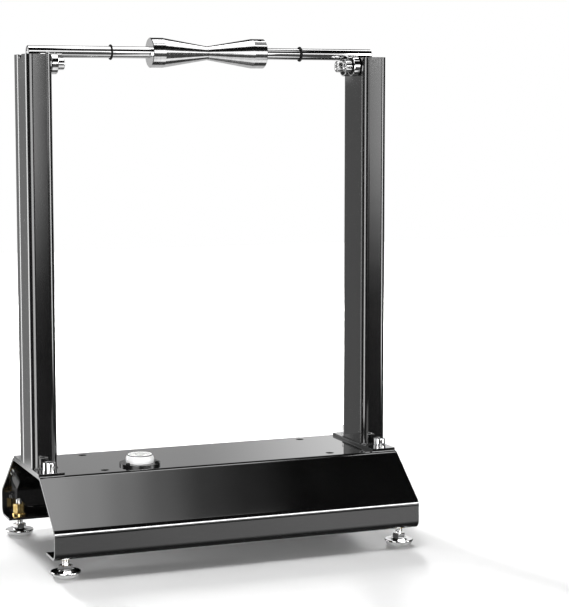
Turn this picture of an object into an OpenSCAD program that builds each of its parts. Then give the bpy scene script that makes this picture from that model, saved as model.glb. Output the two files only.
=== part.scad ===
// Wheel balancing stand in millimetres: X runs along the shaft, Y from front to back, Z up from the floor.
// A bent sheet base on four levelling feet carries two tube posts.
// A polished shaft with two centring cones rolls on a pair of ball bearings at each post.

/* [Base channel] */
// Length of the base along the shaft
base_len = 415; // [380:0.5:560]
// Flat top left beyond each end of the foot plates
top_margin = 3.75; // [2:0.25:15]
// Horizontal run of each sloped side
slope_run = 60; // [45:0.5:90]
// Height of each sloped side
slope_h = 47.25; // [35:0.25:70]
// Height of each upright skirt
skirt_h = 29.75; // [24:0.25:60]
// Width of each bottom flange
flange_w = 36; // [30:0.5:50]
// Thickness of the base sheet
sheet_t = 2.5; // [1.5:0.25:4]
// Inside radius of every bend in the sheet
bend_r = 6.5; // [1:0.25:7]

/* [Posts] */
// Width of a post along the shaft
post_w = 28.5; // [24:0.5:40]
// Depth of a post across the shaft
post_d = 60; // [46:0.5:80]
// Height of a post above its foot plate
post_h = 441.5; // [300:0.5:600]
// Wall of the post tube
post_t = 2; // [1.5:0.25:3]
// Outside radius of the tube's corners
post_corner_r = 7; // [3.5:0.25:8]
// Room round the shaft in the notches at a post's top
notch_play = 2.5; // [1:0.25:4]

/* [Foot plates] */
// Thickness of a foot plate
plate_t = 3; // [2:0.25:6]
// Distance from a post's wall to the middle of a bolt
bolt_gap = 15; // [12:0.25:30]
// Distance from the middle of a bolt to the plate's end
bolt_edge = 11.25; // [9:0.25:20]
// How far the spare bolt holes lie further in than the bolts
spare_shift = 61.5; // [40:0.5:90]

/* [Screws, washers and nuts] */
// Diameter of the screws
bolt_d = 8; // [6:0.5:9]
// Diameter of a socket head
head_d = 13; // [11:0.25:15]
// Height of a socket head
head_h = 8; // [6:0.25:10]
// Width of the hexagon socket across its flats
socket_af = 6; // [4:0.25:7]
// Depth of the hexagon socket
socket_deep = 4; // [2:0.25:5]
// Bevel round the top of a socket head
head_bevel = 0.8; // [0.2:0.1:1.2]
// Width of a nut across its flats
nut_af = 13; // [12:0.25:16]
// Height of a nut
nut_h = 6.5; // [5:0.25:8]
// Length of screw that stands out of a nut
bolt_tail = 2; // [0.5:0.25:5]
// Outside diameter of a lock washer
lock_washer_d = 14; // [12.5:0.25:17]
// Thickness of a lock washer
lock_washer_t = 2; // [1:0.25:3]
// Width of the split in a lock washer
lock_washer_split = 1.2; // [0.5:0.1:2]
// Radial room for a screw in its hole
hole_play = 0.5; // [0.2:0.05:1]
// Radial room between a screw and the ring, washer or nut on it
shank_play = 0.05; // [0.02:0.01:0.2]

/* [Bearings] */
// Outside diameter of a bearing
bearing_od = 22; // [21:0.25:26]
// Width of a bearing
bearing_w = 7; // [6:0.25:9]
// Bevel round the outer ring's edges
bearing_bevel = 0.4; // [0.2:0.1:0.8]
// Gap between the two bearings at one post
bearing_space = 1; // [0.5:0.25:5]
// Depth of the bearing axes below the post's top
bearing_drop = 10; // [8.6:0.1:16]
// Length of the spacer between post and bearing
spacer_len = 1.25; // [1:0.25:6]
// Room beside a ball for the cage's rim and the seal
side_room = 1.515; // [1.4:0.005:1.8]
// Number of balls in a bearing
ball_count = 7; // [5:1:8]
// Depth of the ball grooves
race_depth = 0.55; // [0.3:0.05:0.7]
// Room round a ball in its grooves
race_play = 0.05; // [0.02:0.01:0.1]
// Radial thickness of the ball cage
cage_t = 0.8; // [0.5:0.1:1.2]
// Room round a ball in its cage
cage_play = 0.1; // [0.05:0.01:0.15]
// Thickness of the cage on each side of a ball
cage_rim = 0.25; // [0.15:0.05:0.3]
// Thickness of a bearing seal
seal_t = 0.5; // [0.3:0.05:0.6]
// Depth of a seal below the bearing's face
seal_inset = 0.35; // [0.2:0.05:0.4]
// Width of the step in the outer ring that holds a seal
seal_step = 0.65; // [0.4:0.05:0.9]
// Gap between a seal and the inner ring
seal_gap = 0.3; // [0.15:0.05:0.5]
// Radial room for a seal in its step
seal_play = 0.03; // [0.01:0.01:0.1]

/* [Shaft] */
// Diameter of the shaft
shaft_d = 12.7; // [10:0.1:14]
// Distance from a post's outer face to the shaft's end
shaft_inset = 8; // [0:0.25:14]
// Bevel at the shaft's ends
shaft_bevel = 0.8; // [0.3:0.1:2]
// Gap between the shaft and the bearings that it rolls on
roll_play = 0.1; // [0.05:0.01:0.3]

/* [Cones] */
// Length of a cone
cone_len = 66; // [50:0.5:80]
// Largest diameter of a cone
cone_d = 32.4; // [26:0.1:44]
// Wall of a cone at its thin end
cone_tip_wall = 1.1; // [1:0.05:4]
// Length of the straight part at a cone's thick end
cone_land = 14.5; // [10:0.25:24]
// Bevel round a cone's thick end
cone_bevel = 0.6; // [0.2:0.1:2]
// Place of the joint between the cones along the shaft
joint_x = 2.5; // [-20:0.25:20]
// Gap between the two cones
cone_gap = 0.2; // [0.1:0.05:2]
// Radial room for the shaft in a cone
slide_play = 0.05; // [0.02:0.01:0.1]
// Diameter of a set screw
set_screw_d = 6; // [4:0.25:8]
// Length of a set screw
set_screw_len = 6; // [4:0.25:7]
// Width of a set screw's socket across its flats
set_socket_af = 3; // [2:0.25:3.5]
// Depth of a set screw's socket
set_socket_deep = 2.5; // [1.5:0.25:3.5]
// Lean of the right set screw from upright towards the front, in degrees
right_screw_lean = 24; // [-180:1:180]
// Lean of the left set screw from upright towards the front, in degrees
left_screw_lean = -70; // [-180:1:180]

/* [Stop rings] */
// Thickness of a rubber ring
ring_section = 2; // [1.5:0.1:3]
// Gap between a cone's thick end and its ring
ring_gap = 43; // [10:0.5:48]

/* [Bubble level] */
// Distance along the shaft from the left spare holes to the level's middle
level_shift = 44.5; // [30:0.25:120]
// Distance from the front edge of the flat top to the level's middle
level_edge = 31.5; // [27:0.5:70]
// Width of the level's flange beyond its cup
level_lip = 7; // [5.5:0.25:10]
// Thickness of the level's flange
level_flange_t = 2.5; // [1.5:0.25:4]
// Largest diameter of the level's cup
level_cup_d = 31; // [29:0.25:34]
// Diameter of the level's flat top
level_top_d = 26; // [22:0.25:28]
// Height of the level
level_h = 11.5; // [10:0.25:16]
// Height of the cup's widest place
level_belly_z = 5.5; // [4.5:0.25:6]
// Thickness of the cup's floor
cup_floor = 2; // [1:0.25:3]
// Rim of the cup round the lens
cup_rim = 1.2; // [0.8:0.1:2]
// Width of the step that the lens sits on
lens_seat = 0.8; // [0.5:0.1:1.5]
// Thickness of the lens
lens_t = 2; // [1:0.25:3]
// Room round the pieces inside the cup
cup_play = 0.05; // [0.02:0.01:0.1]
// Diameter of the bubble
bubble_d = 8; // [5:0.25:12]
// Depth of the bubble
bubble_deep = 1.5; // [0.8:0.1:2]
// Diameter of the level's fixing screws
level_screw_d = 2.5; // [2:0.1:3]
// Diameter of the fixing screws' heads
level_head_d = 4.6; // [4:0.1:5]
// Height of the fixing screws' heads
level_head_h = 1.6; // [1:0.1:2.5]
// Number of fixing screws
level_screw_count = 3; // [3:1:6]
// Turn of the first fixing screw from the shaft's direction, in degrees
first_screw_turn = 90; // [0:1:180]

/* [Levelling feet] */
// Height of the bottom flanges above the floor
leg_h = 20.5; // [19:0.5:34]
// Distance from the base's end to the rim of a foot
foot_margin = 0; // [0:0.25:10]
// Diameter of a foot's saucer
saucer_d = 32; // [30:0.5:36]
// Thickness of the saucer's rim
saucer_rim = 2; // [1:0.1:2.5]
// Height of the saucer at its middle
saucer_h = 3; // [2.6:0.1:5]
// Diameter of a foot's pad
pad_d = 29.2; // [25:0.2:29.6]
// Height of a pad
pad_h = 4.5; // [4:0.25:6]
// Rounding at the bottom of a pad
pad_round = 3.5; // [1:0.25:3.75]
// Width of a foot's hexagon across its flats
foot_hex_af = 13; // [12:0.25:16]
// Height of a foot's hexagon
foot_hex_h = 5.5; // [4:0.25:7]
// Diameter of a foot's stud
stud_d = 8; // [6:0.25:10]
// Length of stud that stands out of its rivet nut
stud_tail = 4.5; // [1:0.25:8]
// Bevel at the stud's top
stud_bevel = 0.8; // [0.3:0.1:1.5]
// Radial room for a stud in its rivet nut
thread_play = 0.08; // [0.05:0.01:0.1]
// Height of a rivet nut's hexagon
rivet_h = 11; // [8:0.25:14]
// Wall of a rivet nut's hexagon at its flats
rivet_wall = 2; // [1.5:0.1:3]
// Lip of a rivet nut's collar beyond its hexagon
rivet_lip = 1.25; // [0.75:0.05:2]
// Thickness of a rivet nut's collar above the flange
rivet_collar_t = 2; // [1:0.1:3]
// Thickness of a rivet nut's head below the flange
rivet_head_t = 1; // [0.6:0.1:1.5]
// Wall of a rivet nut's neck through the flange
neck_wall = 1.25; // [0.8:0.05:2]

/* [Hidden] */
SIDES = [["left", -1], ["right", 1]];
PLACES = [["front", -1], ["rear", 1]];
CORNERS = [for (s = SIDES) for (p = PLACES) [str(s[0], "_", p[0]), s[1], p[1]]];
BEARING_PIECES = ["bearing_ring", "bearing_seals", "bearing_balls", "bearing_cage"];
FOOT_PIECES = ["foot_stud", "foot_saucer", "foot_pad"];
$fn = 64;

// Hexagons have this many sides
HEX = 6;
// How far a cut runs past the face it opens
over = 1;

bolt_y = post_d / 2 + bolt_gap;
plate_len = 2 * (bolt_y + bolt_edge);
top_depth = plate_len + 2 * top_margin;
base_depth = top_depth + 2 * slope_run;
base_h = skirt_h + slope_h;
base_top = leg_h + base_h;
end_x = base_len / 2;
post_x = end_x - post_w / 2;
inner_face_x = end_x - post_w;
spare_x = post_x - spare_shift;
post_bottom = base_top + plate_t;
post_top = post_bottom + post_h;
hole_r = bolt_d / 2 + hole_play;
shank_r = bolt_d / 2 - shank_play;
post_grip = lock_washer_t + plate_t + sheet_t;
bearing_grip = bearing_w + spacer_len + post_t;

// The shaft lies in the valley between the two bearings of a post
shaft_r = shaft_d / 2;
shaft_len = base_len - 2 * shaft_inset;
bearing_r = bearing_od / 2;
bearing_gap = bearing_od + bearing_space;
bearing_z = post_top - bearing_drop;
shaft_z = bearing_z + sqrt(pow(bearing_r + shaft_r + roll_play, 2) - pow(bearing_gap / 2, 2));
notch_r = shaft_r + notch_play;

// The balls run half way between bore and outside
ball_d = bearing_w - 2 * side_room;
ball_r = ball_d / 2;
pitch_r = (bolt_d / 2 + bearing_r) / 2;
inner_ring_r = pitch_r - ball_r + race_depth;
outer_ring_r = pitch_r + ball_r - race_depth;
seal_r = outer_ring_r + seal_step;
bearing_mid = spacer_len + bearing_w / 2;

set_screw_r = shaft_r + roll_play;
land_middle = cone_len - cone_land / 2;
ring_x = cone_gap / 2 + cone_len + ring_gap + ring_section / 2;

level_x = level_shift - spare_x;
level_y = level_edge - top_depth / 2;
level_r = level_cup_d / 2 + level_lip;
belly = (level_cup_d - level_top_d) / 2;
belly_r = (pow(level_h - level_belly_z, 2) + pow(belly, 2)) / (2 * belly);
belly_x = level_cup_d / 2 - belly_r;
level_bore_r = belly_x + sqrt(pow(belly_r, 2) - pow(level_belly_z - level_flange_t, 2)) + cup_play;
level_screw_r = (level_cup_d + level_lip) / 2;
level_hole_r = level_screw_d / 2 + shank_play;
lens_r = level_top_d / 2 - cup_rim;
cup_r = lens_r - lens_seat;
lens_z = level_h - lens_t;
bubble_r = (pow(bubble_d / 2, 2) + pow(bubble_deep, 2)) / (2 * bubble_deep);

foot_x = end_x - foot_margin - saucer_d / 2;
foot_y = base_depth / 2 - flange_w / 2;
saucer_r = saucer_d / 2;
rim_round = saucer_rim / 2;
saucer_top = pad_h + saucer_h;
foot_hex_r = foot_hex_af / 2 / cos(180 / HEX);
neck_r = stud_d / 2 + neck_wall;
rivet_af = stud_d + 2 * rivet_wall;
collar_r = rivet_af / 2 / cos(180 / HEX) + rivet_lip;
rivet_bottom = leg_h + sheet_t;
stud_top = rivet_bottom + rivet_collar_t + rivet_h + stud_tail;

function unit(v) = v / norm(v);

// Middle of a rounding of radius r that fits the corner at p
function corner_centre(before, p, after, r) =
    let (
        a = unit(before - p),
        b = unit(after - p),
        half = acos(a * b) / 2
    )
    p + unit(a + b) * r / sin(half);

// Middles of the roundings of radius r in all corners of an outline
function corner_centres(pts, r) =
    let (n = len(pts))
    [for (i = [0:n - 1]) corner_centre(pts[(i + n - 1) % n], pts[i], pts[(i + 1) % n], r)];

// Convex outline that wraps equal circles, listed counter-clockwise
module wrapped(centres, r) {
    n = len(centres);
    polygon([
        for (i = [0:n - 1])
        let (
            a = centres[i],
            b = centres[(i + 1) % n],
            d = unit(b - a),
            out = [d[1], -d[0]] * r
        )
        each [a + out, b + out]
    ]);
    for (c = centres) {
        translate(c) circle(r);
    }
}

// Places for the pieces that repeat
module at_bolts() {
    for (c = CORNERS) {
        translate([c[1] * post_x, c[2] * bolt_y, 0]) children();
    }
}

// The frame at a bearing has its origin on the post's wall and its Z towards the other post
module at_bearing(side, place) {
    translate([side * inner_face_x, place * bearing_gap / 2, bearing_z])
        rotate([0, -side * 90, 0])
            children();
}

module at_bearings() {
    for (c = CORNERS) {
        at_bearing(c[1], c[2]) children();
    }
}

module at_foot(side, place) {
    translate([side * foot_x, place * foot_y, 0]) children();
}

module at_level() {
    translate([level_x, level_y, base_top]) children();
}

module at_level_screws() {
    for (i = [0:level_screw_count - 1]) {
        turn = first_screw_turn + i * 360 / level_screw_count;
        rotate(turn) translate([level_screw_r, 0, 0]) children();
    }
}

// Solids that several pieces share
module round_hole(r, h) {
    translate([0, 0, -over]) cylinder(r = r, h = h + 2 * over);
}

module washer(r_out, r_in, h) {
    difference() {
        cylinder(r = r_out, h = h);
        round_hole(r_in, h);
    }
}

module hexagon(af, h) {
    cylinder(r = af / 2 / cos(180 / HEX), h = h, $fn = HEX);
}

module hex_nut(af, h, bore_r) {
    difference() {
        hexagon(af, h);
        round_hole(bore_r, h);
    }
}

// A socket cap screw with the underside of its head at Z zero
module cap_screw(grip) {
    length = grip + nut_h + bolt_tail;
    head_r = head_d / 2;
    difference() {
        rotate_extrude() polygon([
            [0, -length],
            [shank_r, -length],
            [shank_r, 0],
            [head_r, 0],
            [head_r, head_h - head_bevel],
            [head_r - head_bevel, head_h],
            [0, head_h]
        ]);
        translate([0, 0, head_h - socket_deep]) hexagon(socket_af, socket_deep + over);
    }
}

// Base channel
module base_outline() {
    half = base_depth / 2;
    top = top_depth / 2;
    bend_out = bend_r + sheet_t;
    corners = [[-half, 0], [half, 0], [half, skirt_h], [top, base_h], [-top, base_h], [-half, skirt_h]];
    bends = corner_centres(corners, bend_out);
    slot = base_depth - 2 * flange_w;
    difference() {
        wrapped(bends, bend_out);
        wrapped(bends, bend_r);
        translate([-slot / 2, -over]) square([slot, sheet_t + 2 * over]);
    }
}

module base_channel() {
    top_hole_z = base_top - sheet_t;
    color("#18181a") difference() {
        translate([-end_x, 0, leg_h]) rotate([90, 0, 90]) linear_extrude(base_len) base_outline();
        translate([0, 0, top_hole_z]) at_bolts() round_hole(hole_r, sheet_t);
        for (c = CORNERS) {
            translate([c[1] * spare_x, c[2] * bolt_y, top_hole_z]) round_hole(hole_r, sheet_t);
            at_foot(c[1], c[2]) translate([0, 0, leg_h]) round_hole(neck_r + shank_play, sheet_t);
        }
        at_level() translate([0, 0, -sheet_t]) at_level_screws() round_hole(level_hole_r, sheet_t);
    }
}

// Posts and their foot plates
module post(side) {
    w = post_w / 2 - post_corner_r;
    d = post_d / 2 - post_corner_r;
    corners = [[-w, -d], [w, -d], [w, d], [-w, d]];
    cut_w = post_w + 2 * over;
    slot_h = bearing_drop + over;
    color("#18181a") difference() {
        translate([side * post_x, 0, post_bottom]) linear_extrude(post_h) difference() {
            wrapped(corners, post_corner_r);
            wrapped(corners, post_corner_r - post_t);
        }
        translate([side * post_x, 0, shaft_z]) {
            rotate([0, 90, 0]) cylinder(r = notch_r, h = cut_w, center = true);
            translate([0, 0, slot_h / 2]) cube([cut_w, 2 * notch_r, slot_h], center = true);
        }
        for (p = PLACES) {
            at_bearing(side, p[1]) translate([0, 0, -post_t]) round_hole(hole_r, post_t);
        }
    }
}

module foot_plate(side) {
    color("#18181a") difference() {
        translate([side * post_x - post_w / 2, -plate_len / 2, base_top]) {
            cube([post_w, plate_len, plate_t]);
        }
        for (p = PLACES) {
            translate([side * post_x, p[1] * bolt_y, base_top]) round_hole(hole_r, plate_t);
        }
    }
}

module post_screws() {
    color("silver") at_bolts() translate([0, 0, post_bottom + lock_washer_t]) cap_screw(post_grip);
}

module post_lock_washers() {
    color("silver") at_bolts() translate([0, 0, post_bottom]) difference() {
        washer(lock_washer_d / 2, bolt_d / 2, lock_washer_t);
        translate([0, -lock_washer_split / 2, -over]) {
            cube([lock_washer_d, lock_washer_split, lock_washer_t + 2 * over]);
        }
    }
}

module post_nuts() {
    nut_z = base_top - sheet_t - nut_h;
    color("silver") at_bolts() translate([0, 0, nut_z]) hex_nut(nut_af, nut_h, bolt_d / 2);
}

// Bearings on their axle screws
module bearing_screws() {
    color("silver") at_bearings() translate([0, 0, spacer_len + bearing_w]) cap_screw(bearing_grip);
}

module bearing_spacers() {
    color("silver") at_bearings() washer(inner_ring_r, bolt_d / 2, spacer_len);
}

module bearing_nuts() {
    color("silver") at_bearings() translate([0, 0, -post_t - nut_h]) hex_nut(nut_af, nut_h, bolt_d / 2);
}

// Half section of the space that the balls sweep
module ball_track() {
    translate([pitch_r, 0]) circle(ball_r + race_play);
}

module bearing_inner_rings() {
    ring_t = inner_ring_r - bolt_d / 2;
    color("silver") at_bearings() translate([0, 0, bearing_mid]) rotate_extrude() difference() {
        translate([bolt_d / 2, -bearing_w / 2]) square([ring_t, bearing_w]);
        ball_track();
    }
}

module bearing_ring() {
    half = bearing_w / 2;
    step_deep = seal_inset + seal_t;
    color("silver") translate([0, 0, bearing_mid]) rotate_extrude() difference() {
        polygon([
            [outer_ring_r, -half],
            [bearing_r - bearing_bevel, -half],
            [bearing_r, -half + bearing_bevel],
            [bearing_r, half - bearing_bevel],
            [bearing_r - bearing_bevel, half],
            [outer_ring_r, half]
        ]);
        ball_track();
        for (flip = [0, 1]) {
            mirror([0, flip]) translate([0, half - step_deep]) square([seal_r, step_deep + over]);
        }
    }
}

module bearing_seals() {
    floor_z = bearing_w / 2 - seal_inset - seal_t;
    color("#202020") translate([0, 0, bearing_mid]) for (flip = [0, 1]) {
        mirror([0, 0, flip]) translate([0, 0, floor_z]) {
            washer(seal_r - seal_play, inner_ring_r + seal_gap, seal_t);
        }
    }
}

module at_balls() {
    for (i = [0:ball_count - 1]) {
        rotate(i * 360 / ball_count) translate([pitch_r, 0, bearing_mid]) children();
    }
}

module bearing_balls() {
    color("silver") at_balls() sphere(r = ball_r);
}

module bearing_cage() {
    pocket_r = ball_r + cage_play;
    cage_w = 2 * (pocket_r + cage_rim);
    cage_r = pitch_r + cage_t / 2;
    color("goldenrod") difference() {
        translate([0, 0, bearing_mid - cage_w / 2]) washer(cage_r, cage_r - cage_t, cage_w);
        at_balls() rotate([0, 90, 0]) cylinder(r = pocket_r, h = ball_d, center = true);
    }
}

// Shaft, cones and stop rings
module shaft() {
    half = shaft_len / 2;
    color("silver") translate([0, 0, shaft_z]) rotate([0, 90, 0]) rotate_extrude() polygon([
        [0, -half],
        [shaft_r - shaft_bevel, -half],
        [shaft_r, -half + shaft_bevel],
        [shaft_r, half - shaft_bevel],
        [shaft_r - shaft_bevel, half],
        [0, half]
    ]);
}

// The frame of a set screw has its origin on the shaft's axis and its Z along the screw
module at_set_screw(side, lean) {
    translate([joint_x + side * (cone_gap / 2 + land_middle), 0, shaft_z]) rotate([lean, 0, 0]) children();
}

module cone(side, lean) {
    bore_r = shaft_r + slide_play;
    cone_r = cone_d / 2;
    color("silver") difference() {
        translate([joint_x + side * cone_gap / 2, 0, shaft_z]) rotate([0, side * 90, 0]) {
            rotate_extrude() polygon([
                [bore_r, 0],
                [bore_r + cone_tip_wall, 0],
                [cone_r, cone_len - cone_land],
                [cone_r, cone_len - cone_bevel],
                [cone_r - cone_bevel, cone_len],
                [bore_r, cone_len]
            ]);
        }
        at_set_screw(side, lean) cylinder(r = set_screw_d / 2 + slide_play, h = cone_d);
    }
}

module set_screw(side, lean) {
    color("dimgray") at_set_screw(side, lean) translate([0, 0, set_screw_r]) difference() {
        cylinder(r = set_screw_d / 2, h = set_screw_len);
        translate([0, 0, set_screw_len - set_socket_deep]) hexagon(set_socket_af, set_socket_deep + over);
    }
}

module stop_ring(side) {
    color("#141414") translate([joint_x + side * ring_x, 0, shaft_z]) rotate([0, 90, 0]) rotate_extrude() {
        translate([shaft_r + slide_play + ring_section / 2, 0]) circle(ring_section / 2);
    }
}

// Bubble level
module level_flange() {
    color("#202020") at_level() difference() {
        cylinder(r = level_r, h = level_flange_t);
        round_hole(level_bore_r, level_flange_t);
        at_level_screws() round_hole(level_hole_r, level_flange_t);
    }
}

module level_cup() {
    color("white") at_level() difference() {
        rotate_extrude() intersection() {
            square([level_cup_d, level_h]);
            union() {
                translate([belly_x, level_belly_z]) circle(belly_r);
                square([cup_r, level_h]);
            }
        }
        translate([0, 0, cup_floor]) cylinder(r = cup_r, h = level_h);
        translate([0, 0, lens_z]) cylinder(r = lens_r, h = lens_t + over);
    }
}

module level_lens() {
    color("whitesmoke") at_level() translate([0, 0, lens_z]) cylinder(r = lens_r - cup_play, h = lens_t);
}

// Ball whose lowest cap is the bubble under the lens
module bubble_ball(room) {
    translate([0, 0, lens_z - bubble_deep + bubble_r]) sphere(r = bubble_r + room);
}

module level_fluid() {
    color("#e8f0c8") at_level() difference() {
        translate([0, 0, cup_floor]) cylinder(r = cup_r - cup_play, h = lens_z - cup_floor);
        bubble_ball(cup_play);
    }
}

module level_bubble() {
    color("white") at_level() intersection() {
        bubble_ball(0);
        translate([0, 0, cup_floor]) cylinder(r = cup_r, h = lens_z - cup_floor);
    }
}

module level_screws() {
    color("dimgray") at_level() at_level_screws() union() {
        translate([0, 0, -sheet_t]) cylinder(d = level_screw_d, h = sheet_t + level_flange_t);
        translate([0, 0, level_flange_t]) cylinder(d = level_head_d, h = level_head_h);
    }
}

// Levelling feet and the rivet nuts that hold them
module foot_rivet_nuts() {
    bore_r = stud_d / 2 + thread_play;
    color("#c8a850") for (c = CORNERS) {
        at_foot(c[1], c[2]) difference() {
            union() {
                translate([0, 0, leg_h - rivet_head_t]) cylinder(r = collar_r, h = rivet_head_t);
                translate([0, 0, leg_h]) cylinder(r = neck_r, h = sheet_t);
                translate([0, 0, rivet_bottom]) cylinder(r = collar_r, h = rivet_collar_t);
                translate([0, 0, rivet_bottom + rivet_collar_t]) hexagon(rivet_af, rivet_h);
            }
            round_hole(bore_r, stud_top);
        }
    }
}

module foot_stud() {
    r = stud_d / 2;
    color("silver") union() {
        translate([0, 0, saucer_top]) hexagon(foot_hex_af, foot_hex_h);
        rotate_extrude() polygon([
            [0, pad_h],
            [r, pad_h],
            [r, stud_top - stud_bevel],
            [r - stud_bevel, stud_top],
            [0, stud_top]
        ]);
    }
}

// The saucer's hollow flank is an arc from the rim up to the hexagon's seat
module foot_saucer() {
    flank_w = saucer_r - rim_round - foot_hex_r;
    flank_h = saucer_h - saucer_rim;
    flank_r = (pow(flank_w, 2) + pow(flank_h, 2)) / (2 * flank_h);
    color("silver") difference() {
        translate([0, 0, pad_h]) rotate_extrude() union() {
            square([saucer_r - rim_round, saucer_rim]);
            translate([saucer_r - rim_round, rim_round]) circle(rim_round);
            difference() {
                square([saucer_r - rim_round, saucer_h]);
                translate([saucer_r - rim_round, saucer_rim + flank_r]) circle(flank_r);
            }
        }
        translate([0, 0, pad_h]) round_hole(stud_d / 2 + shank_play, saucer_h);
    }
}

module foot_pad() {
    r = pad_d / 2;
    color("gainsboro") rotate_extrude() union() {
        square([r - pad_round, pad_h]);
        translate([0, pad_round]) square([r, pad_h - pad_round]);
        intersection() {
            translate([r - pad_round, pad_round]) circle(pad_round);
            square([r, pad_h]);
        }
    }
}

base_channel();
post(-1);  // left_post
post(1);  // right_post
foot_plate(-1);  // left_foot_plate
foot_plate(1);  // right_foot_plate
post_screws();
post_lock_washers();
post_nuts();
bearing_screws();
bearing_spacers();
bearing_nuts();
bearing_inner_rings();
shaft();
cone(-1, left_screw_lean);  // left_cone
cone(1, right_screw_lean);  // right_cone
set_screw(-1, left_screw_lean);  // left_set_screw
set_screw(1, right_screw_lean);  // right_set_screw
stop_ring(-1);  // left_stop_ring
stop_ring(1);  // right_stop_ring
level_flange();
level_cup();
level_lens();
level_fluid();
level_bubble();
level_screws();
foot_rivet_nuts();
for (c = CORNERS) {
    at_bearing(c[1], c[2]) bearing_ring();
    at_bearing(c[1], c[2]) bearing_seals();
    at_bearing(c[1], c[2]) bearing_balls();
    at_bearing(c[1], c[2]) bearing_cage();
    at_foot(c[1], c[2]) foot_stud();
    at_foot(c[1], c[2]) foot_saucer();
    at_foot(c[1], c[2]) foot_pad();
}
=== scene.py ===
"""Looks of a wheel balancing stand: finishes, finer pieces, floor, light and camera."""

import math

import bmesh
import bpy
from mathutils import Matrix, Vector


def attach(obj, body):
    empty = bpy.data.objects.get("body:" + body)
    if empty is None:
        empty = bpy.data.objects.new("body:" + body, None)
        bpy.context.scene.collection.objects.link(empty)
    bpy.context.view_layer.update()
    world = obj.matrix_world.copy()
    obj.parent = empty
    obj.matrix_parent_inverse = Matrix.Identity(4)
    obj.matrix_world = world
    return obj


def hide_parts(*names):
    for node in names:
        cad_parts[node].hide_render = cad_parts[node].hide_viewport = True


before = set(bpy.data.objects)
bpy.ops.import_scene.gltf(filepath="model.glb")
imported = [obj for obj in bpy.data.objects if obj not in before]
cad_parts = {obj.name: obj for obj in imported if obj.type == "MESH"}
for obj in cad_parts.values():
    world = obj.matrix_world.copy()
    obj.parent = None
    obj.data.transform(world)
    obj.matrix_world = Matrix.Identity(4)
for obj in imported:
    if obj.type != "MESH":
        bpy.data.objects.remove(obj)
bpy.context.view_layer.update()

MM = 0.001
SIDES = 48
FINE_SIDES = 2 * SIDES
SHARP_EDGE = math.radians(32)
CORNERS = [(f"{side}_{place}", x, y) for side, x in (("left", -1), ("right", 1))
           for place, y in (("front", -1), ("rear", 1))]

# Span that holds most of a noise, and how much broader the patches of colour are than the grain
NOISE_LOW = 0.3
NOISE_HIGH = 0.7
PATCH_SHARE = 12


# Node helpers for the finishes
def add_node(tree, kind, inputs=None, **settings):
    """A new node, with its settings and the plain values of its inputs."""
    node = tree.nodes.new(kind)
    for key, value in settings.items():
        setattr(node, key, value)
    for key, value in (inputs or {}).items():
        node.inputs[key].default_value = value
    return node


def grain(tree, size, stretch=(1, 1, 1), detail=3.0):
    """Noise whose patches are about size metres across, scaled along each axis by stretch."""
    place = add_node(tree, "ShaderNodeTexCoord")
    mapping = add_node(tree, "ShaderNodeMapping", {"Scale": stretch})
    noise = add_node(tree, "ShaderNodeTexNoise", {"Scale": 1 / size, "Detail": detail})
    tree.links.new(place.outputs["Object"], mapping.inputs["Vector"])
    tree.links.new(mapping.outputs["Vector"], noise.inputs["Vector"])
    return noise.outputs["Fac"]


def spread(tree, value, low, high, start=NOISE_LOW, end=NOISE_HIGH):
    """Maps a value between start and end onto the span from low to high."""
    spans = {"From Min": start, "From Max": end, "To Min": low, "To Max": high}
    node = add_node(tree, "ShaderNodeMapRange", spans)
    tree.links.new(value, node.inputs["Value"])
    return node.outputs["Result"]


def tint(tree, value, dark, light):
    """Maps a noise value onto a ramp between two colours."""
    ramp = add_node(tree, "ShaderNodeValToRGB")
    ramp.color_ramp.elements[0].position = NOISE_LOW
    ramp.color_ramp.elements[0].color = (*dark, 1)
    ramp.color_ramp.elements[1].position = NOISE_HIGH
    ramp.color_ramp.elements[1].color = (*light, 1)
    tree.links.new(value, ramp.inputs["Fac"])
    return ramp.outputs["Color"]


def relief(tree, value, height, normal=None):
    """A bump of that height in metres, on top of another normal if one is given."""
    node = add_node(tree, "ShaderNodeBump", {"Strength": 1.0, "Distance": height})
    tree.links.new(value, node.inputs["Height"])
    if normal is not None:
        tree.links.new(normal, node.inputs["Normal"])
    return node.outputs["Normal"]


def finish_of(name, dark, light, rough, size, height, stretch=(1, 1, 1), **fixed):
    """A finish with mottled colour, uneven roughness and a fine relief; fixed holds plain shader values."""
    material = bpy.data.materials.new(name)
    material.use_nodes = True
    tree = material.node_tree
    shader = tree.nodes["Principled BSDF"]
    fine = grain(tree, size, stretch)
    broad = grain(tree, PATCH_SHARE * size, stretch)
    tree.links.new(tint(tree, broad, dark, light), shader.inputs["Base Color"])
    tree.links.new(spread(tree, broad, *rough), shader.inputs["Roughness"])
    tree.links.new(relief(tree, fine, height), shader.inputs["Normal"])
    for key, value in fixed.items():
        shader.inputs[key.replace("_", " ")].default_value = value
    return material


def grey(value):
    """A neutral colour."""
    return (value, value, value)


PEEL_SIZE = 2.5 * MM
PEEL_HEIGHT = 0.001 * MM
CLOUD_SIZE = 60 * MM
PAINT_DARK = 0.003
PAINT_LIGHT = 0.005
PAINT_ROUGH = (0.05, 0.1)
COAT_ROUGH = 0.02
EDGE_RADIUS = 0.5 * MM
EDGE_GREY = 0.12
EDGE_TURNED = 0.7
EDGE_FLAT = 0.95


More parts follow.
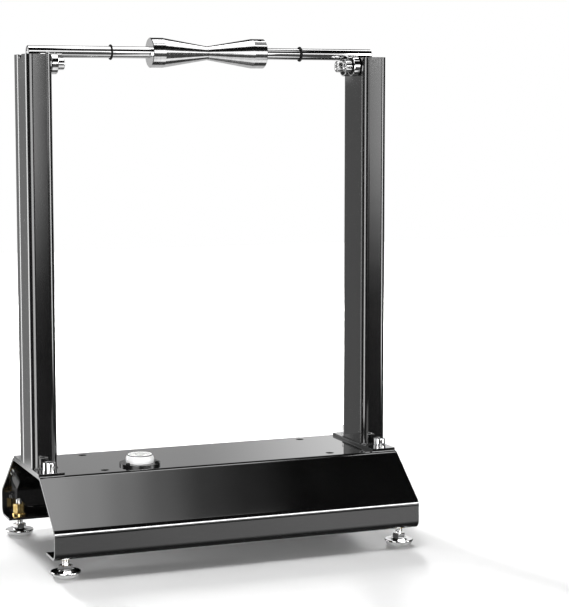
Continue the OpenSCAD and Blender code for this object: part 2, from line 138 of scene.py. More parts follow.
def black_paint():
    """Gloss powder coat: orange peel, a clear top layer, and a thin lighter grey line along the cut edges."""
    material = bpy.data.materials.new("black_paint_gloss")
    material.use_nodes = True
    tree = material.node_tree
    shader = tree.nodes["Principled BSDF"]
    shader.inputs["Coat Weight"].default_value = 1.0
    shader.inputs["Coat Roughness"].default_value = COAT_ROUGH
    peel = grain(tree, PEEL_SIZE, detail=1.0)
    broad = grain(tree, CLOUD_SIZE)
    rounded = add_node(tree, "ShaderNodeBevel", {"Radius": EDGE_RADIUS}, samples=6)
    flat = add_node(tree, "ShaderNodeNewGeometry")
    turn = add_node(tree, "ShaderNodeVectorMath", operation="DOT_PRODUCT")
    tree.links.new(rounded.outputs["Normal"], turn.inputs[0])
    tree.links.new(flat.outputs["Normal"], turn.inputs[1])
    edge = spread(tree, turn.outputs["Value"], 1.0, 0.0, EDGE_TURNED, EDGE_FLAT)
    paint = tint(tree, broad, grey(PAINT_DARK), grey(PAINT_LIGHT))
    # Lighter grey mixed into the colour along the cut edges, where the rounded normal turns away from the
    # flat one
    lighter_edge_mix = add_node(tree, "ShaderNodeMix", {"B": (*grey(EDGE_GREY), 1)}, data_type="RGBA")
    tree.links.new(edge, lighter_edge_mix.inputs["Factor"])
    tree.links.new(paint, lighter_edge_mix.inputs["A"])
    tree.links.new(lighter_edge_mix.outputs["Result"], shader.inputs["Base Color"])
    tree.links.new(spread(tree, broad, *PAINT_ROUGH), shader.inputs["Roughness"])
    normal = relief(tree, peel, PEEL_HEIGHT, rounded.outputs["Normal"])
    tree.links.new(normal, shader.inputs["Normal"])
    tree.links.new(normal, shader.inputs["Coat Normal"])
    return material


# Finish of each slot: dark and light colour, span of roughness, size and height of the grain
RINGS_X = (1, 0.03, 0.03)
FINISHES = {
    "black_paint": black_paint(),
    "screw_chrome": finish_of("screw_chrome_plate", grey(0.7), grey(0.82), (0.04, 0.08),
                              0.6 * MM, 0.0006 * MM, Metallic=1.0),
    "shaft_chrome": finish_of("shaft_ground_chrome", grey(0.72), grey(0.84), (0.04, 0.08),
                              0.15 * MM, 0.0002 * MM, RINGS_X, Metallic=1.0),
    "cone_steel": finish_of("cone_turned_steel", grey(0.6), grey(0.78), (0.08, 0.13),
                            0.3 * MM, 0.001 * MM, RINGS_X, Metallic=1.0),
    "set_screw_steel": finish_of("set_screw_black_oxide", grey(0.006), grey(0.014), (0.35, 0.5),
                                 0.4 * MM, 0.004 * MM, Metallic=1.0),
    "bearing_steel": finish_of("bearing_polished_steel", grey(0.7), grey(0.84), (0.03, 0.06),
                               0.3 * MM, 0.0004 * MM, RINGS_X, Metallic=1.0),
    "cage_brass": finish_of("cage_pressed_brass", (0.5, 0.33, 0.1), (0.68, 0.48, 0.18), (0.22, 0.34),
                            0.5 * MM, 0.003 * MM, Metallic=1.0),
    "black_rubber": finish_of("rubber_black", grey(0.006), grey(0.014), (0.5, 0.7),
                              0.25 * MM, 0.01 * MM, Specular_IOR_Level=0.08),
    "black_plastic": finish_of("level_base_plastic", grey(0.006), grey(0.012), (0.12, 0.22),
                               0.4 * MM, 0.004 * MM),
    # The cup plastic glows a little: painted light that keeps it evenly white where the lamps leave it in
    # shade
    "white_plastic": finish_of("level_cup_plastic_painted_glow", grey(0.88), grey(0.93), (0.25, 0.35),
                               0.5 * MM, 0.004 * MM, Emission_Strength=0.2),
    "clear_lens": finish_of("lens_clear_plastic", grey(0.9), grey(0.95), (0.02, 0.06),
                            0.8 * MM, 0.001 * MM, Alpha=0.25, IOR=1.49),
    # The fluid glows a little: painted light that keeps the lens top white
    "level_fluid": finish_of("level_pale_fluid_painted_glow", (0.92, 0.94, 0.9), (0.95, 0.96, 0.93), (0.05, 0.1),
                             2 * MM, 0.001 * MM, Emission_Strength=0.2),
    "level_bubble": finish_of("level_air_bubble", grey(0.66), grey(0.74), (0.05, 0.1),
                              1 * MM, 0.001 * MM),
    "foot_chrome": finish_of("foot_chrome_plate", grey(0.72), grey(0.84), (0.02, 0.05),
                             0.6 * MM, 0.0004 * MM, Metallic=1.0),
    "pad_plastic": finish_of("pad_pale_plastic", grey(0.45), grey(0.55), (0.35, 0.5),
                             0.4 * MM, 0.008 * MM),
    "yellow_zinc": finish_of("rivet_yellow_zinc", (0.62, 0.42, 0.13), (0.86, 0.68, 0.32), (0.14, 0.26),
                             0.3 * MM, 0.003 * MM, Metallic=1.0),
}


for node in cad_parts.values():
    node["slot"] = node.data.materials[0].name
    node.material_slots[0].material = FINISHES[node["slot"]]


# Mesh helpers: a piece is a stack of loops of points, each bridged to the next
def loop_of(radius, height, sides=SIDES):
    """Points round Z; radius and height are numbers or functions of the angle in degrees."""
    points = []
    for i in range(sides):
        degrees = 360 * i / sides
        r = radius(degrees) if callable(radius) else radius
        z = height(degrees) if callable(height) else height
        angle = math.radians(degrees)
        points.append(Vector((r * math.cos(angle), r * math.sin(angle), z)))
    return points


def loft(mesh, loops, place=None, joined=False):
    """Adds a solid through the loops: its ends are capped, or the last loop meets the first if joined."""
    place = place or Matrix.Identity(4)
    rows = [[mesh.verts.new(place @ point) for point in points] for points in loops]
    pairs = list(zip(rows, rows[1:]))
    if joined:
        pairs.append((rows[-1], rows[0]))
    else:
        mesh.faces.new(list(reversed(rows[0])))
        mesh.faces.new(rows[-1])
    for low, high in pairs:
        for i in range(len(low)):
            j = (i + 1) % len(low)
            mesh.faces.new((low[i], low[j], high[j], high[i]))


def piece_from(name, mesh, body, slot, replaced=()):
    """Turns a bmesh into a piece that rides on a body, has a slot's finish and may stand for nodes."""
    bmesh.ops.recalc_face_normals(mesh, faces=mesh.faces[:])
    data = bpy.data.meshes.new(name)
    mesh.to_mesh(data)
    mesh.free()
    data.polygons.foreach_set("use_smooth", [True] * len(data.polygons))
    data.set_sharp_from_angle(angle=SHARP_EDGE)
    data.materials.append(FINISHES[slot])
    piece = bpy.data.objects.new(name, data)
    bpy.context.scene.collection.objects.link(piece)
    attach(piece, body)
    if replaced:
        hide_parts(*replaced)


HEX_FACE = 0.95
HEX_CHAMFER = math.radians(30)


def hex_radius(across_flats):
    """Radius of a hexagon with a corner at angle zero, as a function of the angle."""
    return lambda degrees: across_flats / 2 / math.cos(math.radians(degrees % 60 - 30))


def hex_sides(across_flats, bottom, top):
    """Loops of a hexagon whose corners are cut by a shallow cone at both ends."""
    radius = hex_radius(across_flats)
    face_r = HEX_FACE * across_flats / 2
    drop = math.tan(HEX_CHAMFER)
    return [
        loop_of(face_r, bottom),
        loop_of(radius, lambda degrees: bottom + drop * (radius(degrees) - face_r)),
        loop_of(radius, lambda degrees: top - drop * (radius(degrees) - face_r)),
        loop_of(face_r, top),
    ]


PITCH = 1.25 * MM
STEPS_PER_PITCH = 6
THREAD_DEEP = 0.68 * MM
THREAD_FLANK = 1.3
THREAD_CREST = 0.15
RUNOUT = 0.9 * MM


def thread(radius, bottom, top):
    """Loops of a screw thread that runs out at both ends."""
    steps = math.ceil((top - bottom) / (PITCH / STEPS_PER_PITCH))
    loops = []
    for i in range(steps + 1):
        z = bottom + (top - bottom) * i / steps
        ease = min(1, (z - bottom) / RUNOUT, (top - z) / RUNOUT)
        cut = THREAD_DEEP * (1 - ease)

        def crest(degrees, z=z, cut=cut):
            wave = abs(2 * ((z / PITCH - degrees / 360) % 1) - 1)
            groove = THREAD_DEEP * min(1, max(0, THREAD_FLANK * wave - THREAD_CREST))
            return radius - max(cut, groove)

        loops.append(loop_of(crest, z))
    return loops


def rounded_rim(radius, edge, top, steps=4):
    """Loops over the rounded top edge of a round head."""
    return [
        loop_of(radius - edge + edge * math.cos(math.radians(90 * i / steps)),
                top - edge + edge * math.sin(math.radians(90 * i / steps)))
        for i in range(steps + 1)
    ]


HEAD_R = 6.5 * MM
HEAD_H = 8 * MM
HEAD_EDGE = 0.8 * MM
HEAD_FOOT = 0.4 * MM
SOCKET_AF = 6 * MM
SOCKET_DEEP = 4 * MM
SOCKET_BEVEL = 0.3 * MM
SOCKET_MOUTH = 0.25 * MM
DRILL_POINT_R = 1.6 * MM
DRILL_POINT_DEEP = 0.6 * MM
SHANK_R = 3.95 * MM
SHANK_NECK = 0.6 * MM
NUT_H = 6.5 * MM
NUT_AF = 13 * MM
NUT_BORE = 4 * MM
NUT_BEVEL = 0.5 * MM
TAIL = 2 * MM


def cap_screw(mesh, place, grip):
    """A socket cap screw with the underside of its head at zero and its head towards Z."""
    length = grip + NUT_H + TAIL
    socket = hex_radius(SOCKET_AF)
    mouth_r = socket(0) + SOCKET_MOUTH
    floor_z = HEAD_H - SOCKET_DEEP
    loops = thread(SHANK_R, -length, -SHANK_NECK)
    loops += [
        loop_of(SHANK_R, -SHANK_NECK / 2),
        loop_of(SHANK_R, 0),
        loop_of(HEAD_R - HEAD_FOOT, 0),
        loop_of(HEAD_R, HEAD_FOOT),
    ]
    loops += rounded_rim(HEAD_R, HEAD_EDGE, HEAD_H)
    loops += [
        loop_of(mouth_r, HEAD_H),
        loop_of(socket, HEAD_H - SOCKET_BEVEL),
        loop_of(socket, floor_z),
        loop_of(DRILL_POINT_R, floor_z - DRILL_POINT_DEEP),
    ]
    loft(mesh, loops, place)


def hex_nut(mesh, place):
    """A hexagon nut with its underside at zero."""
    mouth = NUT_BORE + NUT_BEVEL
    loops = [loop_of(NUT_BORE, NUT_BEVEL), loop_of(mouth, 0)]
    loops += hex_sides(NUT_AF, 0, NUT_H)
    loops += [loop_of(mouth, NUT_H), loop_of(NUT_BORE, NUT_H - NUT_BEVEL)]
    loft(mesh, loops, place, joined=True)


# Screws and nuts of the posts and of the bearing axles
POST_X = 193.25 * MM
BOLT_Y = 45 * MM
INNER_FACE_X = 179 * MM
AXLE_Y = 11.5 * MM
AXLE_Z = 532 * MM
BASE_TOP = 97.5 * MM
PLATE_TOP = 100.5 * MM
WASHER_T = 2 * MM
POST_GRIP = 7.5 * MM
AXLE_GRIP = 10.25 * MM
BEARING_OUT = 8.25 * MM
BEARING_MID = 4.75 * MM
POST_WALL = 2 * MM
SHEET = 2.5 * MM


def at_bearing(side, place, out):
    """The frame at a bearing axle, out from the post's wall, with Z towards the other post."""
    spot = Matrix.Translation((side * INNER_FACE_X, place * AXLE_Y, AXLE_Z))
    return spot @ Matrix.Rotation(math.radians(-90 * side), 4, "Y") @ Matrix.Translation((0, 0, out))


def at_bolt(side, place, height):
    """The frame at a foot plate bolt."""
    return Matrix.Translation((side * POST_X, place * BOLT_Y, height))


post_screws = bmesh.new()
post_nuts = bmesh.new()
axle_screws = bmesh.new()
axle_nuts = bmesh.new()
for _, side, place in CORNERS:
    cap_screw(post_screws, at_bolt(side, place, PLATE_TOP + WASHER_T), POST_GRIP)
    hex_nut(post_nuts, at_bolt(side, place, BASE_TOP - SHEET - NUT_H))
    cap_screw(axle_screws, at_bearing(side, place, BEARING_OUT), AXLE_GRIP)
    hex_nut(axle_nuts, at_bearing(side, place, -POST_WALL - NUT_H))
piece_from("post_cap_screws", post_screws, "stand", "screw_chrome", ["post_screws"])
piece_from("post_hexagon_nuts", post_nuts, "stand", "screw_chrome", ["post_nuts"])
piece_from("axle_cap_screws", axle_screws, "stand", "screw_chrome", ["bearing_screws"])
piece_from("axle_hexagon_nuts", axle_nuts, "stand", "screw_chrome", ["bearing_nuts"])

# Moulded seals of the bearings, with a bead at the rim, a hollow and a raised lip at the bore
SEAL_RIM = 9.55 * MM
SEAL_BORE = 6.37 * MM
SEAL_BACK = 2.66 * MM
# From rim to bore: share of the way, and height in mm over the seal's back
SEAL_PROFILE = [(0.0, 0.34), (0.05, 0.48), (0.12, 0.48), (0.18, 0.3), (0.5, 0.3), (0.56, 0.46),
                (0.86, 0.5), (0.93, 0.62), (0.98, 0.62), (1.0, 0.45)]
for corner, side, place in CORNERS:
    seals = bmesh.new()
    for flip in (0, 180):
        turned = at_bearing(side, place, BEARING_MID) @ Matrix.Rotation(math.radians(flip), 4, "X")
        loops = [loop_of(SEAL_BORE, SEAL_BACK), loop_of(SEAL_RIM, SEAL_BACK)]
        loops += [loop_of(SEAL_RIM + share * (SEAL_BORE - SEAL_RIM), SEAL_BACK + lift * MM)
                  for share, lift in SEAL_PROFILE]
        loft(seals, loops, turned, joined=True)
    piece_from(f"{corner}_moulded_seals", seals, f"{corner}_bearing", "black_rubber",
               [f"{corner}_bearing_seals"])

# Shaft with broken edges and centre holes in its ends
SHAFT_R = 6.35 * MM
SHAFT_HALF = 199.5 * MM
SHAFT_Z = 545.1245 * MM
CENTRE_R = 1.6 * MM
CENTRE_CONE = 2 * MM
CENTRE_DEEP = 4 * MM
PILOT_R = 0.8 * MM
PILOT_TIP_R = 0.2 * MM
PILOT_TIP = 1 * MM
BEVEL = 0.9 * MM
BEVEL_LONG = 0.75 * MM
BEVEL_SHORT = 0.06 * MM
END_STEPS = [
    (PILOT_TIP_R, -CENTRE_DEEP - PILOT_TIP),
    (PILOT_R, -CENTRE_DEEP),
    (PILOT_R, -CENTRE_CONE),
    (CENTRE_R, 0),
    (SHAFT_R - BEVEL, 0),
    (SHAFT_R - BEVEL_LONG, -BEVEL_SHORT),
    (SHAFT_R - BEVEL_SHORT, -BEVEL_LONG),
    (SHAFT_R, -BEVEL),
]
shaft = bmesh.new()
along_x = Matrix.Translation((0, 0, SHAFT_Z)) @ Matrix.Rotation(math.radians(90), 4, "Y")
shaft_loops = [loop_of(r, -SHAFT_HALF - z, FINE_SIDES) for r, z in END_STEPS]
shaft_loops += [loop_of(r, SHAFT_HALF + z, FINE_SIDES) for r, z in reversed(END_STEPS)]
loft(shaft, shaft_loops, along_x)
piece_from("ground_shaft", shaft, "shaft", "shaft_chrome", ["shaft"])

# Threaded studs of the feet
FOOT_X = 191.5 * MM
FOOT_Y = 102 * MM
PAD_H = 4.5 * MM
SAUCER_TOP = 7.5 * MM
HEX_TOP = 13 * MM
FOOT_AF = 13 * MM
STUD_TOP = 40.5 * MM
STUD_R = 4 * MM
STUD_NECK_R = 3.4 * MM
STUD_NECK_H = 0.9 * MM
STUD_THREAD_Z = HEX_TOP + 1.2 * MM
STUD_HOLE_R = 2.2 * MM
STUD_HOLE_FLOOR_R = 2 * MM
STUD_HOLE_DEEP = 2.5 * MM


def threaded_stud(mesh, place):
    """A foot's stud: pin in the saucer, hexagon, neck, thread and a blind hole in its top."""
    loops = [loop_of(STUD_R, PAD_H), loop_of(STUD_R, SAUCER_TOP)]
    loops += hex_sides(FOOT_AF, SAUCER_TOP, HEX_TOP)
    loops += [loop_of(STUD_NECK_R, HEX_TOP), loop_of(STUD_NECK_R, HEX_TOP + STUD_NECK_H)]
    loops += thread(STUD_R, STUD_THREAD_Z, STUD_TOP)
    loops += [loop_of(STUD_HOLE_R, STUD_TOP), loop_of(STUD_HOLE_FLOOR_R, STUD_TOP - STUD_HOLE_DEEP)]
    loft(mesh, loops, place)


# Rivet nuts that hold the studs in the base's bottom flanges
LEG_H = 20.5 * MM
FLANGE_TOP = LEG_H + SHEET
RIVET_BORE = 4.08 * MM
RIVET_BEVEL = 0.4 * MM
RIVET_NECK = 5.25 * MM
RIVET_AF = 12 * MM
COLLAR_R = 8.178 * MM
COLLAR_EDGE = 0.3 * MM
COLLAR_ROUND = 0.5 * MM
RIVET_BOTTOM = LEG_H - 1 * MM
COLLAR_TOP = FLANGE_TOP + 2 * MM
RIVET_TOP = COLLAR_TOP + 11 * MM


def rivet_nut(mesh, place):
    """A rivet nut: collars under and over the flange, and a hexagon body above it."""
    loops = [
        loop_of(RIVET_BORE, RIVET_BOTTOM),
        loop_of(COLLAR_R - COLLAR_EDGE, RIVET_BOTTOM),
        loop_of(COLLAR_R, RIVET_BOTTOM + COLLAR_EDGE),
        loop_of(COLLAR_R, LEG_H),
        loop_of(RIVET_NECK, LEG_H),
        loop_of(RIVET_NECK, FLANGE_TOP),
        loop_of(COLLAR_R, FLANGE_TOP),
    ]
    loops += rounded_rim(COLLAR_R, COLLAR_ROUND, COLLAR_TOP)
    loops += hex_sides(RIVET_AF, COLLAR_TOP, RIVET_TOP)
    loops += [loop_of(RIVET_BORE + RIVET_BEVEL, RIVET_TOP), loop_of(RIVET_BORE, RIVET_TOP - RIVET_BEVEL)]
    loft(mesh, loops, place, joined=True)


rivets = bmesh.new()
for corner, side, place in CORNERS:
    spot = Matrix.Translation((side * FOOT_X, place * FOOT_Y, 0))
    stud = bmesh.new()
    threaded_stud(stud, spot)
    piece_from(f"{corner}_threaded_stud", stud, f"{corner}_foot", "foot_chrome", [f"{corner}_foot_stud"])
    rivet_nut(rivets, spot)
piece_from("foot_rivet_nut_set", rivets, "stand", "yellow_zinc", ["foot_rivet_nuts"])

# Level: cross-recessed screws, the sight ring printed on the lens, and a dark ring at the lens rim that is
# painted shade for the shadow under the lens's lip
LEVEL = Vector((-87.25 * MM, -28.5 * MM, BASE_TOP))
LEVEL_SCREW_R = 19 * MM
LEVEL_FLANGE_T = 2.5 * MM
PAN_R = 2.3 * MM
PAN_H = 1.6 * MM
PAN_SIDE = 0.55
PAN_STEPS = 13
PAN_SHANK_R = 1.25 * MM
RECESS_DEEP = 0.7 * MM
RECESS_HALF = 0.4 * MM
RECESS_WALL = 0.15 * MM
RECESS_REACH = 1.5 * MM
RECESS_END = 0.3 * MM


def pan_screw(mesh, place):
    """A pan head screw with a cross recess."""
    loops = [
        loop_of(PAN_SHANK_R, -SHEET),
        loop_of(PAN_SHANK_R, LEVEL_FLANGE_T),
        loop_of(PAN_R, LEVEL_FLANGE_T),
    ]
    for step in range(PAN_STEPS):
        r = PAN_R * (1 - step / PAN_STEPS)
        bulge = math.sqrt(max(0, 1 - (r / PAN_R) ** 4))
        dome = LEVEL_FLANGE_T + PAN_H * (PAN_SIDE + (1 - PAN_SIDE) * bulge)

        def recess(degrees, r=r, dome=dome):
            across = r * abs(math.sin(math.radians(2 * (degrees % 90)))) / 2
            in_slot = max(0, min(1, (RECESS_HALF - across) / RECESS_WALL))
            in_reach = max(0, min(1, (RECESS_REACH - r) / RECESS_END))
            return dome - RECESS_DEEP * in_slot * in_reach

        loops.append(loop_of(r, recess))
    loft(mesh, loops, place)


pan_screws = bmesh.new()
for i in range(3):
    turn = math.radians(90 + 120 * i)
    out = Vector((LEVEL_SCREW_R * math.cos(turn), LEVEL_SCREW_R * math.sin(turn), 0))
    pan_screw(pan_screws, Matrix.Translation(LEVEL + out))
piece_from("level_pan_screws", pan_screws, "stand", "set_screw_steel", ["level_screws"])

# Each band is a ring's section in mm from the level's middle and from the top plate
LENS_TOP = 11.5
SIGHT_BAND = [(4.7, LENS_TOP - 0.02), (5.3, LENS_TOP - 0.02), (5.3, LENS_TOP + 0.05), (4.7, LENS_TOP + 0.05)]
# A dark rubber ring at the lens rim, put there as painted shade for the shadow line under the lens's lip
RIM_SHADE_BAND = [(13.65, 10.5), (13.93, 10.5), (13.27, 11.3), (13.0, 11.3)]
for name, band, slot, sides in (
    ("level_sight_ring", SIGHT_BAND, "black_plastic", SIDES),
    ("level_rim_shade_ring", RIM_SHADE_BAND, "black_rubber", FINE_SIDES),
):
    ring = bmesh.new()
    loft(ring, [loop_of(r * MM, z * MM, sides) for r, z in band], Matrix.Translation(LEVEL), joined=True)
    piece_from(name, ring, "stand", slot)

# Welds between the tubes and their foot plates, and the long seam of each tube
POST_HALF_X = 14.25 * MM
POST_HALF_Y = 30 * MM
POST_CORNER = 7 * MM
POST_TOP = 542 * MM
WELD_STEP = 0.4 * MM
WELD_LEG = 1.7 * MM
WELD_SINK = 0.3 * MM
WELD_FOOT = 0.1 * MM
WELD_SWELL = 0.08
OUTER_SIDE = 0.6
RIPPLE = 2.4 * MM
SEAM_Y = 10.5 * MM
SEAM_HALF = 3.2 * MM
SEAM_LIFT = 0.5 * MM
SEAM_SINK = 0.3 * MM
SEAM_END = 0.2 * MM
SEAM_STEPS = 4


def tube_outline(step):
    """Points and outward directions round the outside of a tube, about step apart."""
    flat_x = POST_HALF_X - POST_CORNER
    flat_y = POST_HALF_Y - POST_CORNER
    walk = []
    for start, end, turn in (
        ((POST_HALF_X, -flat_y), (POST_HALF_X, flat_y), 0),
        ((flat_x, POST_HALF_Y), (-flat_x, POST_HALF_Y), 90),
        ((-POST_HALF_X, flat_y), (-POST_HALF_X, -flat_y), 180),
        ((-flat_x, -POST_HALF_Y), (flat_x, -POST_HALF_Y), 270),
    ):
        start, end = Vector(start), Vector(end)
        out = Vector((math.cos(math.radians(turn)), math.sin(math.radians(turn))))
        count = round((end - start).length / step)
        walk += [(start.lerp(end, i / count), out) for i in range(count)]
        middle = end - out * POST_CORNER
        arcs = max(3, round(POST_CORNER * math.pi / 2 / step))
        for i in range(arcs):
            angle = math.radians(turn + 90 * i / arcs)
            out = Vector((math.cos(angle), math.sin(angle)))
            walk.append((middle + out * POST_CORNER, out))
    return walk


def weld(mesh, side):
    """A rippled fillet round three sides of a tube's foot; the outer side is flush with the foot plate."""
    outline = [(point, out) for point, out in tube_outline(WELD_STEP) if out.x < OUTER_SIDE]
    loops = []
    for i, (point, out) in enumerate(outline):
        wave = math.cos(2 * math.pi * i * WELD_STEP / RIPPLE)
        swell = WELD_LEG * (1 - WELD_SWELL + WELD_SWELL * wave)
        section = [(-WELD_SINK, -WELD_FOOT), (swell, -WELD_FOOT), (0.62 * swell, 0.5 * swell),
                   (0.5 * swell, 0.62 * swell), (0, swell), (-WELD_SINK, swell)]
        loop = []
        for away, up in section:
            spot = point + out * away
            loop.append(Vector((side * (POST_X + spot.x), spot.y, PLATE_TOP + up)))
        loops.append(loop)
    loft(mesh, loops)


def seam(mesh, side):
    """The long weld seam of a tube: a low smooth ridge on its outer face."""
    face_x = side * (POST_X + POST_HALF_X)
    across = [i / SEAM_STEPS for i in range(-SEAM_STEPS, SEAM_STEPS + 1)]
    section = [(s * SEAM_HALF, SEAM_LIFT * (0.5 + 0.5 * math.cos(math.pi * s))) for s in across]
    section += [(SEAM_HALF, -SEAM_SINK), (-SEAM_HALF, -SEAM_SINK)]
    loft(mesh, [[Vector((face_x + side * up, SEAM_Y + y, z)) for y, up in section]
                for z in (PLATE_TOP + SEAM_END, POST_TOP - SEAM_END)])


for side_name, side in (("left", -1), ("right", 1)):
    bead = bmesh.new()
    weld(bead, side)
    piece_from(f"{side_name}_post_weld", bead, "stand", "black_paint")
    ridge = bmesh.new()
    seam(ridge, side)
    piece_from(f"{side_name}_post_seam", ridge, "stand", "black_paint")


# Stage: floor, light and the panels that mirror in the gloss
def flat_panel(name, centre, across, up):
    """A flat rectangle with its own coordinates, from its middle and two half sides."""
    mesh = bmesh.new()
    middle, half_across, half_up = Vector(centre), Vector(across), Vector(up)
    spots = [(-1, -1), (1, -1), (1, 1), (-1, 1)]
    corners = [mesh.verts.new(middle + a * half_across + b * half_up) for a, b in spots]
    face = mesh.faces.new(corners)
    own = mesh.loops.layers.uv.new("panel")
    for corner, (a, b) in zip(face.loops, spots):
        corner[own].uv = ((a + 1) / 2, (b + 1) / 2)
    data = bpy.data.meshes.new(name)
    mesh.to_mesh(data)
    mesh.free()
    panel = bpy.data.objects.new(name, data)
    bpy.context.scene.collection.objects.link(panel)
    return panel


def profile(tree, value, stops):
    """A smooth course of brightness along one side of a panel."""
    ramp = add_node(tree, "ShaderNodeValToRGB")
    ramp.color_ramp.interpolation = "EASE"
    elements = ramp.color_ramp.elements
    elements.remove(elements[1])
    elements[0].position = stops[0][0]
    elements[0].color = (*grey(stops[0][1]), 1)
    for position, level in stops[1:]:
        elements.new(position).color = (*grey(level), 1)
    tree.links.new(value, ramp.inputs["Fac"])
    return ramp.outputs["Color"]


def soft(start=0.1, end=0.9):
    """Stops of a side that is bright from start to end and fades out to both ends."""
    return [(0.0, 0.0), (start, 1.0), (end, 1.0), (1.0, 0.0)]


def glow_panel(name, centre, across, up, strength, across_stops, up_stops):
    """A glowing panel that shows in mirrors only: it lights no matt surface and the camera doesn't see it."""
    panel = flat_panel(name, centre, across, up)
    panel.visible_camera = False
    panel.visible_diffuse = False
    panel.visible_shadow = False
    material = bpy.data.materials.new(name)
    material.use_nodes = True
    tree = material.node_tree
    tree.nodes.remove(tree.nodes["Principled BSDF"])
    place = add_node(tree, "ShaderNodeTexCoord")
    split = add_node(tree, "ShaderNodeSeparateXYZ")
    tree.links.new(place.outputs["UV"], split.inputs["Vector"])
    level = add_node(tree, "ShaderNodeMath", operation="MULTIPLY")
    tree.links.new(profile(tree, split.outputs["X"], across_stops), level.inputs[0])
    tree.links.new(profile(tree, split.outputs["Y"], up_stops), level.inputs[1])
    light = add_node(tree, "ShaderNodeEmission", {"Strength": strength})
    clear = add_node(tree, "ShaderNodeBsdfTransparent")
    mix = add_node(tree, "ShaderNodeMixShader")
    tree.links.new(level.outputs["Value"], mix.inputs["Fac"])
    tree.links.new(clear.outputs["BSDF"], mix.inputs[1])
    tree.links.new(light.outputs["Emission"], mix.inputs[2])
    tree.links.new(mix.outputs["Shader"], tree.nodes["Material Output"].inputs["Surface"])
    panel.data.materials.append(material)


def lamp(name, place, target, width, height, power):
    """A soft lamp that lights the scene and doesn't show in mirrors."""
    data = bpy.data.lights.new(name, "AREA")
    data.shape = "RECTANGLE"
    data.size = width
    data.size_y = height
    data.energy = power
    light = bpy.data.objects.new(name, data)
    bpy.context.scene.collection.objects.link(light)
    light.location = place
    light.rotation_euler = (Vector(target) - Vector(place)).to_track_quat("-Z", "Y").to_euler()
    light.visible_glossy = False
    light.visible_camera = False


FLOOR_HALF = 4
GLOW_NEAR = 0.03
GLOW_FAR = 1.2
GLOW_START = 0.55
GLOW_END = 1.3


def floor_white():
    """Pale matt floor that grows into the white background away from the object."""
    material = finish_of("floor_white", grey(0.86), grey(0.88), (0.7, 0.8), 4 * MM, 0.01 * MM)
    tree = material.node_tree
    shader = tree.nodes["Principled BSDF"]
    shader.inputs["Emission Color"].default_value = (1, 1, 1, 1)
    place = add_node(tree, "ShaderNodeTexCoord")
    away = add_node(tree, "ShaderNodeVectorMath", operation="LENGTH")
    tree.links.new(place.outputs["Object"], away.inputs[0])
    glow = spread(tree, away.outputs["Value"], GLOW_NEAR, GLOW_FAR, GLOW_START, GLOW_END)
    tree.links.new(glow, shader.inputs["Emission Strength"])
    return material


floor = flat_panel("floor", (0, 0, 0), (FLOOR_HALF, 0, 0), (0, FLOOR_HALF, 0))
floor.data.materials.append(floor_white())
floor.visible_glossy = False

# Cards lie just over the floor and stand for it in the mirrors
CARD_Z = 0.5 * MM

# Panels: middle, half side across, half side up, strength, and the brightness along each side
glow_panel("floor_card", (0.1, -0.29, CARD_Z), (0.45, 0, 0), (0, 0.16, 0), 1.2,
           [(0.0, 0.0), (0.1, 0.7), (0.22, 0.68), (0.4, 0.85), (0.6, 1.0), (0.9, 1.0), (1.0, 0.0)],
           soft(0.12, 0.8))
glow_panel("front_low_panel", (0.6, -2.3, 0.11), (2.4, 0, 0), (0, 0, 0.51), 3.3,
           [(0.25, 0.0), (0.27, 0.06), (0.38, 0.06), (0.41, 1.0), (0.446, 1.0),
            (0.461, 0.03), (0.607, 0.03), (0.642, 1.0), (0.655, 1.0), (0.68, 0.0)],
           [(0.0, 0.0), (0.27, 0.02), (0.39, 0.06), (0.45, 0.12), (0.51, 0.26), (0.57, 0.4), (0.625, 0.56),
            (0.68, 0.74), (0.74, 0.87), (0.79, 0.93), (0.98, 1.0)])
glow_panel("front_gap_panel", (0.78, -2.31, 0.475), (0.36, 0, 0), (0, 0, 0.16), 1.7,
           soft(), [(0.0, 0.0), (0.3, 1.0), (1.0, 1.0)])
glow_panel("front_high_panel", (0.6, -2.3, 1.0), (2.4, 0, 0), (0, 0, 0.38), 1.7,
           soft(), [(0.0, 1.0), (0.75, 1.0), (1.0, 0.0)])
glow_panel("front_edge_panel", (0.405, -1.095, 0.5811), (0.4, 0, 0), (-0.095, 0.305, -0.0101), 22.0,
           soft(0.05, 0.95), soft())
glow_panel("overhead_panel", (-0.225, 0.165, 2.0), (1.075, 0, 0), (0, 0.585, 0), 3.0,
           [(0.0, 0.0), (0.12, 1.0), (0.735, 0.95), (0.772, 0.74), (0.809, 0.5), (0.8465, 0.27), (0.893, 0.1),
            (0.94, 0.04), (1.0, 0.0)],
           soft(0.08, 0.92))
glow_panel("overhead_back_panel", (0.75, 0.55, 2.0), (1.3, 0, 0), (0, 0.25, 0), 3.0,
           soft(), soft(0.2, 0.9))
glow_panel("shaft_top_panel", (0.09, -0.175, 0.9), (0.29, 0, 0), (0, 0.055, 0), 1.7,
           soft(), soft(0.15, 0.9))
glow_panel("cone_top_panel", (0.03, -0.015, 0.65), (0.045, 0, 0), (0, 0.028, 0), 2.85,
           soft(), soft(0.05, 0.9))
glow_panel("left_strip", (-3.264, 2.571, 0.8), (0.936, 1.115, 0), (0, 0, 1.8), 4.8,
           soft(), soft())
glow_panel("left_shade", (-0.19, 0.275, 0.3), (0, 0.175, 0), (0, 0, 0.3), 0.6,
           soft(0.03, 0.97), soft(0.03, 0.97))
glow_panel("front_left_strip", (-0.35, -0.3685, 0.3), (0.083, -0.1495, 0), (0, 0, 0.3), 5.0,
           soft(0.15, 0.85), soft(0.05, 0.95))
glow_panel("right_strip", (2.25, -1.7, 0.6), (0, 0.6, 0), (0, 0, 0.9), 8.0,
           soft(0.15, 0.85), soft())
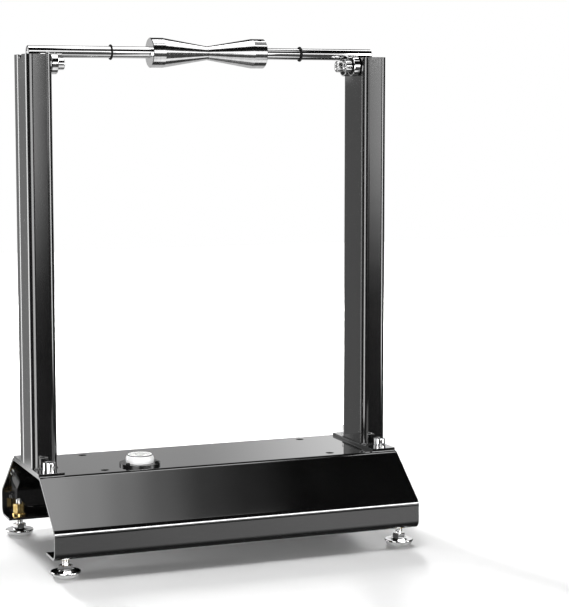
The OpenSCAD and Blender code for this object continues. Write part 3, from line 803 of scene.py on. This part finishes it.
glow_panel("back_right_panel", (1.9, 2.6, 0.7), (1.05, 0, 0), (0, 0, 0.6), 0.95,
           soft(0.25, 0.9), [(0.0, 0.3), (0.1, 1.0), (0.9, 1.0), (1.0, 0.0)])
glow_panel("floor_front_card", (0.235, -0.69, CARD_Z), (0.2, 0, 0), (-0.085, 0.25, 0), 0.9,
           soft(), soft(0.15, 0.95))
glow_panel("floor_back_card", (0.35, 0.875, CARD_Z), (0.27, 0, 0), (0.25, 0.725, 0), 0.62,
           soft(0.15, 0.85), soft(0.05, 0.9))
glow_panel("floor_left_card", (-0.3, 0.22, CARD_Z), (0.1, 0, 0), (0, 0.33, 0), 1.1,
           soft(), soft(0.1, 0.8))
glow_panel("back_left_panel", (-0.915, 2.6, 0.63), (0.06, 0, 0), (0, 0, 0.09), 0.75,
           soft(0.15, 0.85), soft(0.15, 0.85))

# Lamps: place, target, width, height and power in watts
lamp("key_lamp", (-0.1, 0.25, 3.0), (0.05, 0, 0.1), 1.6, 0.5, 50)
lamp("back_left_lamp", (-0.32, 2.2, 1.2), (0, 0, 0.1), 0.25, 1.0, 58)
lamp("back_right_lamp", (1.0, 2.2, 1.2), (0, 0, 0.1), 0.25, 1.0, 60)
lamp("front_lamp", (-0.6, -2.2, 0.35), (0, 0, 0.1), 1.0, 0.5, 29)
lamp("left_lamp", (-0.9, 0.0, 0.4), (-0.27, -0.03, 0), 0.3, 0.3, 1.8)

# Background: white to the camera; as light it is dim, and brighter low at the back, most at the right
FRONT_LEVEL = 0.07
world = bpy.data.worlds.new("studio")
bpy.context.scene.world = world
world.use_nodes = True
sky = world.node_tree
around = sky.nodes["Background"]
white = add_node(sky, "ShaderNodeBackground", {"Color": (1, 1, 1, 1), "Strength": 1.0})
direction = add_node(sky, "ShaderNodeTexCoord")
axes = add_node(sky, "ShaderNodeSeparateXYZ")
sky.links.new(direction.outputs["Generated"], axes.inputs["Vector"])
behind = spread(sky, axes.outputs["X"], low=0.17, high=0.37, start=-0.45, end=0.3)
to_back = spread(sky, axes.outputs["Y"], low=0.0, high=1.0, start=0.55, end=0.85)
below_top = spread(sky, axes.outputs["Z"], low=1.0, high=0.08, start=0.26, end=0.48)
front_to_back = add_node(sky, "ShaderNodeMath", {2: FRONT_LEVEL}, operation="MULTIPLY_ADD")
sky.links.new(to_back, front_to_back.inputs[0])
sky.links.new(behind, front_to_back.inputs[1])
level = add_node(sky, "ShaderNodeMath", operation="MULTIPLY")
sky.links.new(front_to_back.outputs["Value"], level.inputs[0])
sky.links.new(below_top, level.inputs[1])
sky.links.new(level.outputs["Value"], around.inputs["Strength"])
around.inputs["Color"].default_value = (1, 1, 1, 1)
path = add_node(sky, "ShaderNodeLightPath")
choice = add_node(sky, "ShaderNodeMixShader")
sky.links.new(path.outputs["Is Camera Ray"], choice.inputs["Fac"])
sky.links.new(around.outputs["Background"], choice.inputs[1])
sky.links.new(white.outputs["Background"], choice.inputs[2])
sky.links.new(choice.outputs["Shader"], sky.nodes["World Output"].inputs["Surface"])
bpy.context.scene.view_settings.view_transform = "Standard"

# Camera at the photograph's viewing angle
CAMERA_PLACE = (-0.66624, -1.90807, 0.48882)
CAMERA_TILT = math.radians(83.7625)
CAMERA_TURN = math.radians(-21.7375)
lens = bpy.data.cameras.new("photo_camera")
lens.lens = 107.87
lens.sensor_width = 36.0
camera = bpy.data.objects.new("photo_camera", lens)
bpy.context.scene.collection.objects.link(camera)
camera.location = CAMERA_PLACE
camera.rotation_euler = (CAMERA_TILT, 0, CAMERA_TURN)
bpy.context.scene.camera = camera
